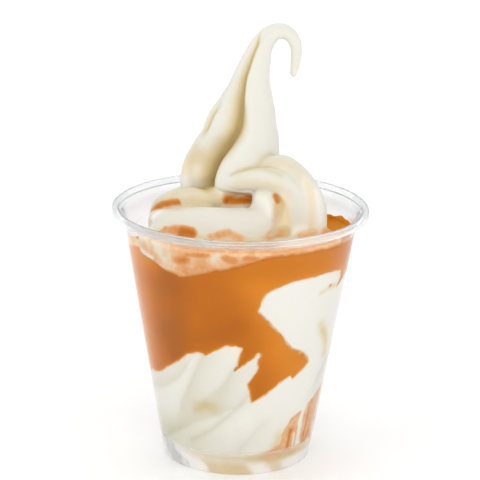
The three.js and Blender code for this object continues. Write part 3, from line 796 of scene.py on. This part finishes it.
def add(tree, kind, inputs, **settings):
    """A node with its settings and its inputs."""
    node = tree.nodes.new(kind)
    for name, value in settings.items():
        setattr(node, name, value)
    join(tree, node, inputs)
    return node


def painted(tree, name):
    """The values kept for a piece's points under a name."""
    return add(tree, "ShaderNodeAttribute", {}, attribute_name=name).outputs["Fac"]


def compute(tree, operation, *values):
    return add(tree, "ShaderNodeMath", dict(enumerate(values)), operation=operation).outputs[0]


def ranged(tree, value, start, end, low, high):
    """A value that runs from low to high between start and end."""
    inputs = {"Value": value, "From Min": start, "From Max": end, "To Min": low, "To Max": high}
    return add(tree, "ShaderNodeMapRange", inputs).outputs["Result"]


def mix(tree, factor, a, b, blend_type="MIX"):
    inputs = {"Factor": factor, "A": a, "B": b}
    return add(tree, "ShaderNodeMix", inputs, data_type="RGBA", blend_type=blend_type).outputs[2]


def ramp(tree, value, stops):
    """A colour from stops of a position and a hex value."""
    node = add(tree, "ShaderNodeValToRGB", {"Fac": value})
    elements = node.color_ramp.elements
    while len(elements) < len(stops):
        elements.new(0.5)
    for element, (position, code) in zip(elements, stops):
        element.position = position
        element.color = linear(code)
    return node.outputs["Color"]


def noise(tree, place, size, **inputs):
    """A noise pattern on a piece's own coordinates, with lumps of a size."""
    return add(tree, "ShaderNodeTexNoise", {"Vector": place, "Scale": 1 / (size * MM), **inputs}).outputs["Fac"]


def relief(tree, height, strength, depth):
    inputs = {"Height": height, "Strength": strength, "Distance": depth * MM}
    return add(tree, "ShaderNodeBump", inputs).outputs["Normal"]


def own_place(tree):
    """A piece's own coordinates, in metres."""
    return add(tree, "ShaderNodeTexCoord", {}).outputs["Object"]


def new_material(name):
    material = bpy.data.materials.new(name)
    material.use_nodes = True
    return material, material.node_tree, material.node_tree.nodes["Principled BSDF"]


def thermoformed_pet():
    """Clear PET drawn into a mould: glossy, with faint waves that bend reflections, a hazy rim, a milky foot whose
    tones are painted light, and faint painted light on the left of the wall.
    """
    material, tree, shader = new_material("thermoformed_pet")
    haze_and_painted_light = painted(tree, "haze_and_painted_light")
    tone = ramp(tree, painted(tree, "haze_and_light_tone"), HAZE_AND_LIGHT_TONES)
    stretched = {"Vector": own_place(tree), "Scale": (1, 1, 0.25)}
    drawn_up = add(tree, "ShaderNodeMapping", stretched).outputs["Vector"]
    join(tree, shader, {
        "Base Color": mix(tree, haze_and_painted_light, linear("#fbfcfd"), tone),
        "Transmission Weight": ranged(tree, haze_and_painted_light, 0, 1, 1, 0.3),
        "Roughness": 0.03,
        "IOR": 1.33,
        "Normal": relief(tree, noise(tree, drawn_up, 9, Detail=1), strength=0.25, depth=0.4),
    })
    return material


def dairy_soft_serve(name, tones):
    """Fresh soft serve: warm white, satin, light seeping in at its edges, stained where sauce runs over it, with
    painted shade in its grooves and a paler tone for painted highlights.
    """
    highlight_tone, bare, traced, shallow, deep = tones
    stained_start = STAINED_TONES[0][0]
    material, tree, shader = new_material(name)
    place = own_place(tree)
    sauce = painted(tree, "sauce")
    blots = compute(tree, "ADD", noise(tree, place, 3.5, Detail=4, Roughness=0.6), -0.5)
    uneven = compute(tree, "MULTIPLY", blots, ranged(tree, sauce, BARE, 0.25, 0, 1))
    film = compute(tree, "MULTIPLY_ADD", uneven, 0.6, sauce)
    # Below the bare tone lies the paler tone of painted highlights.
    stain = ramp(tree, film, [(0, highlight_tone), (BARE, bare), (TRACE, traced)] + STAINED_TONES)
    uncovered = ranged(tree, film, TRACE, stained_start, 1, 0)
    shaded = compute(tree, "MULTIPLY", painted(tree, "groove"), uncovered)
    # Painted shade: grooves and shaded places multiply the colour by these tones.
    shade_tint = ramp(tree, shaded, [(0, "#ffffff"), (0.5, shallow), (1, deep)])
    # Stains, and on the swirl also painted shade, multiply in a yellow tone.
    stained_and_shaded = mix(tree, painted(tree, "stain_and_shade"), stain, linear(STAIN_AND_SHADE_TINT), "MULTIPLY")
    join(tree, shader, {
        "Base Color": mix(tree, 1, stained_and_shaded, shade_tint, "MULTIPLY"),
        "Roughness": ranged(tree, film, 0, 1, 0.48, 0.2),
        "Normal": relief(tree, noise(tree, place, 1.6, Detail=3), strength=0.25, depth=0.3),
        "IOR": 1.38,
        "Subsurface Weight": 0.35,
        "Subsurface Radius": (1, 0.75, 0.45),
        "Subsurface Scale": 1.8 * MM,
    })
    return material


def caramel_sauce():
    """Thick caramel sauce: glossy amber brown, paler where it thins out over the soft serve."""
    material, tree, shader = new_material("caramel_sauce")
    streaks = compute(tree, "ADD", noise(tree, own_place(tree), 14, Detail=2), -0.5)
    body = compute(tree, "MULTIPLY_ADD", streaks, 0.35, painted(tree, "thickness"))
    join(tree, shader, {
        "Base Color": ramp(tree, body, CARAMEL_TONES),
        "Roughness": 0.4,
        "Coat Weight": compute(tree, "MULTIPLY", painted(tree, "open_surface"), 0.2),
        "Coat Roughness": 0.1,
        "Specular IOR Level": 0,
        "Subsurface Weight": 0.2,
        "Subsurface Radius": (1, 0.4, 0.1),
        "Subsurface Scale": 2 * MM,
    })
    return material


def paint_mound(mound):
    """Thin sauce, painted shade in the folds and low in the cup, and yellowed places on the soft serve where it lies
    against the wall.
    """
    at, angle, _, z = unrolled(mound)

    def off(path):
        return from_stroke(path, angle, z)

    start, full, thins, end = SMEARED_SIDES
    below_edge = off(SMEARED_EDGE) + RAGGED_EDGE * grain(at, RAGGED_LUMP)
    ragged = angle + RAGGED_SIDE * grain(at * STREAK_STRETCH, RAGGED_LUMP)
    smeared = smoothstep(*SMEARED_SOFTNESS, below_edge)
    smeared *= smoothstep(start, full, angle) * smoothstep(end, thins, ragged)
    film = np.maximum(strongest(SMEARS, off), SMEARED_FILM * smeared)
    for path, width in BARE_STREAKS:
        film *= 1 - fade(off(path), width)
    fringe = POCKET_FRINGE * np.exp(-np.clip(-inside_pocket(angle, z), 0, None) / FRINGE_WIDTH)
    paint(mound, "sauce", np.maximum(BARE, np.maximum(film, fringe)))
    # Painted shade: darker in the folds and low in the cup, more on the left.
    shade = FOLD_SHADE * np.clip(fold_relief(angle, z), 0, 1)
    low_shade = LOW_SHADE + LOW_LEFT_SHADE * bell(angle, *LOW_LEFT)
    paint(mound, "groove", shade + low_shade * smoothstep(*LOW_LEVELS, z))
    paint(mound, "stain_and_shade", strongest(STAINS, off) * (STAIN_MEAN + STAIN_CHANGE * grain(at, STAIN_LUMP)))


def paint_sauce(sauce):
    """How thick the sauce looks and where its surface is open: deep in front on the left, amber on the right,
    and pale at the far left, along the pocket's edge and where it clings to the wall."""
    _, angle, radius, z = unrolled(sauce)
    below_top = sauce_top(angle, radius) - z
    from_wall = inner_radius(z) - radius
    lean, lean_level = 0.55, 60
    leaning = angle + lean * (z - lean_level)
    near_top = smoothstep(73, 80, z)
    amber = smoothstep(-2, 22, leaning) * smoothstep(120, 60, angle) * (1 - 0.4 * near_top)
    upper_left = smoothstep(71, 79, z) * bell(angle, -56, 20, 12)
    deep = SAUCE_DEPTH - AMBER_LOSS * amber - UPPER_LEFT_LOSS * upper_left
    deep += MIDDLE_LEFT_GAIN * bell(angle, -40, 14, 9) - FAR_LEFT_LOSS * bell(angle, -80, 30, 16)
    inside = np.clip(inside_pocket(angle, z), 0, None)
    at_edge = np.maximum(deep, LEAST_DEPTH) * (1 - EDGE_LOSS * np.exp(-inside / EDGE_WIDTH))
    thick = np.where((below_top < 1.5) & (from_wall > CLIMB_THICKNESS), SURFACE_DEPTH, at_edge)
    paint(sauce, "thickness", thick * smoothstep(-2.5, -0.8, below_top))
    paint(sauce, "open_surface", (below_top < 0.8) & (from_wall > SAUCE_INTO_WALL))


def paint_cup(cup):
    """Marks where the plastic is hazy, at the rim and the far wall, and where light is painted on it, at the foot's
    ring and faintly on the left of the wall, and the tones of both.
    """
    at, angle, radius, z = unrolled(cup)
    outside = radius > FOOT_DIAMETER / 2 - FOOT_WIDTH - 0.1
    # Painted light: the foot's ring is made milky, standing in for light caught in the plastic and reflections on
    # it.
    painted_foot_light = smoothstep(FLOOR_HEIGHT + 2.6, FLOOR_HEIGHT + 0.6, z) * outside
    rim = smoothstep(CUP_HEIGHT - 3.5 * ROLL_RADIUS, CUP_HEIGHT - 2 * ROLL_RADIUS, z)
    turns, hazes, tones = zip(*RIM_HAZE)
    far_wall = FAR_WALL_HAZE * smoothstep(*FAR_WALL_LEVELS, z) * smoothstep(*FAR_WALL_ANGLES, np.abs(angle))
    # Painted light: a faint lighter patch on the left edge of the wall.
    wall_light = PAINTED_WALL_LIGHT * bell(angle, *WALL_LIGHT_SPAN) * outside
    wall_light *= smoothstep(*WALL_LIGHT_BOTTOM, z) * smoothstep(*WALL_LIGHT_TOP, z)
    paint(cup, "haze_and_painted_light", np.max([painted_foot_light, wall_light, far_wall, np.interp(angle, turns, hazes) * rim], axis=0))
    # Tones of the foot's painted light, slanted and uneven.
    slanted = angle + FOOT_SLANT * (z - FLOOR_HEIGHT / 2) + unevenness(at, FOOT_WOBBLE)
    low_tone, top_tone = by_angle(FOOT_LIGHT_TONES, slanted), by_angle(FOOT_TOP_LIGHT_TONES, slanted)
    foot_light_tone = low_tone + (top_tone - low_tone) * smoothstep(*FOOT_MIDDLE, z) + unevenness(at, FOOT_MOTTLE)
    tone = np.where(z > 2 * FLOOR_HEIGHT, np.interp(angle, turns, tones), foot_light_tone)
    paint(cup, "haze_and_light_tone", np.where((far_wall > 0) & (rim < 0.5), FAR_WALL_TONE, tone))


def peak_groove_shade(at):
    """How strongly the groove between the peak's two front folds and its notch are painted with shade, from 0 to 1.
    """
    x, y, height, girth, lean, _ = along(PEAK, np.linspace(0, PEAK_RISE, 200)).T
    z = at[:, 2]
    across, ahead = at[:, 0] - np.interp(z, height, x), np.interp(z, height, y) - at[:, 1]
    angle = np.degrees(np.arctan2(across, ahead))
    sunk = smoothstep(*GROOVE_SUNK, np.hypot(across, ahead) / np.interp(z, height, girth))
    levels, strengths, widths = zip(*GROOVE_SHADE)
    groove = bell(angle, np.interp(z, height, lean), np.interp(z, levels, widths), GROOVE_WIDTHS[1])
    groove *= np.interp(z, levels, strengths) * smoothstep(*GROOVE_BOTTOM, z) * smoothstep(*GROOVE_TOP, z)
    return np.maximum(groove * sunk, NOTCH_SHADE * notched(angle, z))


def wall_film(at, angle, z, above_sauce):
    """Thin sauce between the swirl's base and the wall, which thickens towards the sauce below."""
    def off(path):
        return from_stroke(path, angle, z)

    film = by_angle(WALL_FILM, angle) + FILM_GAIN * np.clip(FILM_LEVEL - z, 0, FILM_DROP)
    film = np.maximum(film, strongest(WALL_BLOTS, off))
    for path, width in WALL_GAPS:
        film *= 1 - WALL_GAP * fade(off(path), width)
    film = np.maximum(film, 0.6 * smoothstep(by_angle(FILM_EDGE, angle), 0.2, above_sauce + 0.5 * grain(at, 3)))
    film = np.maximum(film, NEAR_SAUCE * smoothstep(1.2, 0, above_sauce + 0.5 * grain(at, 2)))
    top_right = smoothstep(38, 50, angle) * smoothstep(84.8, 86.6, z + 0.6 * grain(at, 3))
    return film * (1 - TOP_RIGHT_LOSS * top_right)


def ledge_film(at, angle, radius, z):
    """Thin sauce on top of the swirl's base, near the wall."""
    strength = LEDGE_FILM + LEDGE_GAIN * smoothstep(-45, -30, angle)
    on_base = (z < BASE_TOP + 1.4) * (np.abs(angle) < BASE_SPREAD[1])
    on_top = smoothstep(BASE_TOP - 1.6, BASE_TOP - 0.6, z) * on_base
    return strength * on_top * smoothstep(*LEDGE_RADII, radius + unevenness(at, LEDGE_WOBBLE))


def paint_swirl(swirl):
    """Thin sauce, yellowed places, painted shade and painted highlights on the swirl, and painted shade in its
    grooves.
    """
    at, angle, radius, z = unrolled(swirl)

    def off(path):
        return from_path(path, at)

    above_sauce = z - sauce_top(angle, radius)
    against_wall = smoothstep(-1.8, -0.4, radius - inner_radius(z))
    at_wall = against_wall * smoothstep(BASE_TOP + 0.8, BASE_TOP - 0.4, z)
    # Painted glint: along a thin line the base is left bare, without film or stain, to show as a highlight.
    covered = at_wall * (1 - fade(from_stroke(PAINTED_GLINT, angle, z), PAINTED_GLINT_WIDTH))
    # Painted shade: the swirl darkens low down, near the rim.
    painted_low_shade = LOW_PAINTED_SHADE * smoothstep(108, 100, z)
    stain_and_shade = np.max([WALL_BLUSH * covered, painted_low_shade, strongest(SWIRL_STAINS_AND_SHADE, off)], axis=0)
    # Painted highlights: paler soft serve along these paths, with less sauce tone and less painted shade.
    painted_highlight = strongest(PAINTED_HIGHLIGHTS, off)
    film = np.max([
        BARE * (1 - painted_highlight),
        covered * wall_film(at, angle, z, above_sauce),
        ledge_film(at, angle, radius, z),
        strongest(DRIPS, off, power=3),
        NEAR_SAUCE * (1 - at_wall) * smoothstep(1.4, 0.2, above_sauce + 0.7 * grain(at, 4)),
    ], axis=0)
    # Painted shade in the swirl's grooves and hollows, less where it is already yellowed, shaded or highlighted.
    shade = np.clip(hollows(swirl, HOLLOW_PASSES) / HOLLOW_DEPTH - HOLLOW_START, 0, HOLLOW_SHADE)
    shade *= 1 - 0.8 * np.maximum(stain_and_shade, painted_highlight)
    paint(swirl, "stain_and_shade", stain_and_shade)
    paint(swirl, "sauce", film)
    paint(swirl, "groove", np.maximum(shade, peak_groove_shade(at)))


def make_floor():
    """A pale floor that runs far out on every side."""
    bpy.ops.object.select_all(action="DESELECT")
    bpy.ops.mesh.primitive_plane_add(size=FLOOR_SIDE_M)
    floor = bpy.context.object
    floor.name = floor.data.name = "floor"
    material, tree, shader = new_material("painted_floor")
    join(tree, shader, {"Base Color": linear("#ffffff"), "Roughness": 0.7})
    floor.data.materials.append(material)


def set_camera():
    """The photograph's viewpoint: above the rim, with a long lens."""
    camera = bpy.data.objects.new("camera", bpy.data.cameras.new("camera"))
    bpy.context.collection.objects.link(camera)
    camera.data.sensor_width = SENSOR_WIDTH
    camera.data.lens = FOCAL_PX * SENSOR_WIDTH / PHOTO_SIDE_PX
    camera.data.clip_end = CLIP_END_M
    pitch = math.radians(CAMERA_PITCH) - math.atan(CAMERA_LIFT_PX / FOCAL_PX)
    roll = math.radians(CAMERA_ROLL)
    turn = Matrix.Rotation(math.pi / 2 - pitch, 4, "X") @ Matrix.Rotation(roll, 4, "Z")
    camera.matrix_world = Matrix.Translation(CAMERA_PLACE) @ turn
    bpy.context.scene.camera = camera


def add_panel(name, place, size, energy, target):
    """A soft light panel that faces its target."""
    light = bpy.data.lights.new(name, "AREA")
    light.shape = "RECTANGLE"
    light.size, light.size_y = size
    light.energy = energy
    panel = bpy.data.objects.new(name, light)
    bpy.context.collection.objects.link(panel)
    panel.location = place
    panel.rotation_euler = (Vector(target) - Vector(place)).to_track_quat("-Z", "Y").to_euler()


def set_light():
    world = bpy.data.worlds.new("studio")
    bpy.context.scene.world = world
    world.use_nodes = True
    back = world.node_tree.nodes["Background"]
    join(world.node_tree, back, {"Color": (1, 1, 1, 1), "Strength": WORLD_STRENGTH})
    for settings in PANELS:
        add_panel(*settings)
    bpy.context.scene.view_settings.view_transform = "Standard"


set_camera()
set_light()
make_floor()

cup = make_cup()
paint_cup(cup)
finish(cup, "cup", thermoformed_pet(), 35)
cup.visible_shadow = False

mound = make_mound()
sauce = make_sauce(mound)
paint_mound(mound)
finish(mound, "soft_serve_mound", dairy_soft_serve("pressed_soft_serve", PRESSED_TONES), 60)
paint_sauce(sauce)
finish(sauce, "caramel_sauce", caramel_sauce(), 40)

swirl = make_swirl()
paint_swirl(swirl)
finish(swirl, "soft_serve_swirl", dairy_soft_serve("drawn_soft_serve", DRAWN_TONES), 80)
